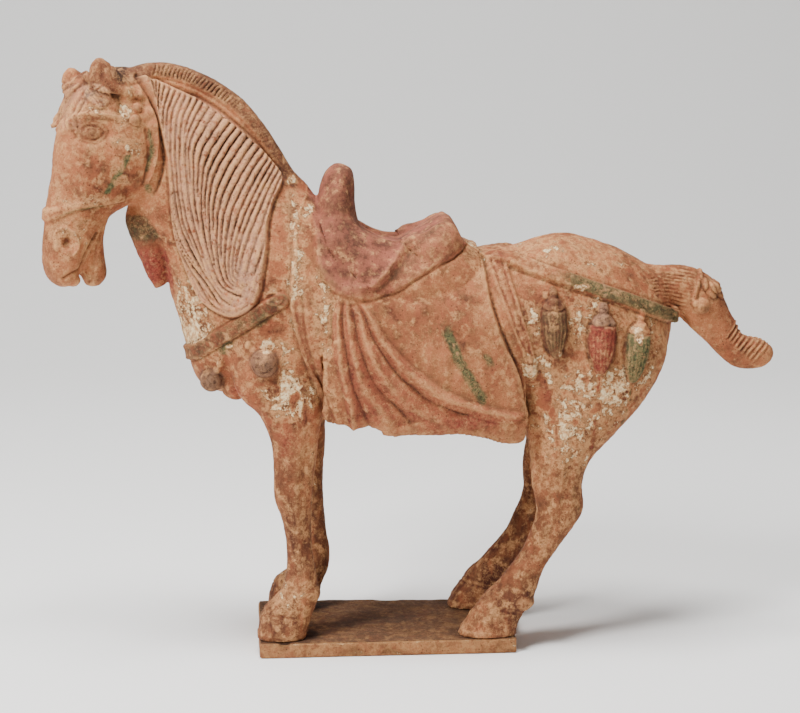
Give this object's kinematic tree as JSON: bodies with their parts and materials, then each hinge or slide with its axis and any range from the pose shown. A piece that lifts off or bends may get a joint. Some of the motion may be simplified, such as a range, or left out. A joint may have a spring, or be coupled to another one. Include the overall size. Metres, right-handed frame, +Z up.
{
  "type": "tomb figurine",
  "caption": "Standing saddled horse in painted earthenware, head bowed and turned, on a thin rectangular slab.",
  "frame": {"origin": "on the slab's underside, on the horse's middle plane, half a millimetre behind the middle of the slab's length", "axes": "+X from the horse's head to its tail, +Y to the horse's right side, +Z up from the slab"},
  "size_m": [0.4509, 0.1082, 0.3632],
  "materials": {
    "painted_earthenware": "fired earthenware with worn cold paint: terracotta, cream slip, dark red and green, fully matt",
    "earthenware_slab": "fired earthenware, bare, dusty and fully matt"
  },
  "bodies": {
    "root": {"horse": "painted_earthenware", "base_slab": "earthenware_slab"}
  },
  "joints": []
}
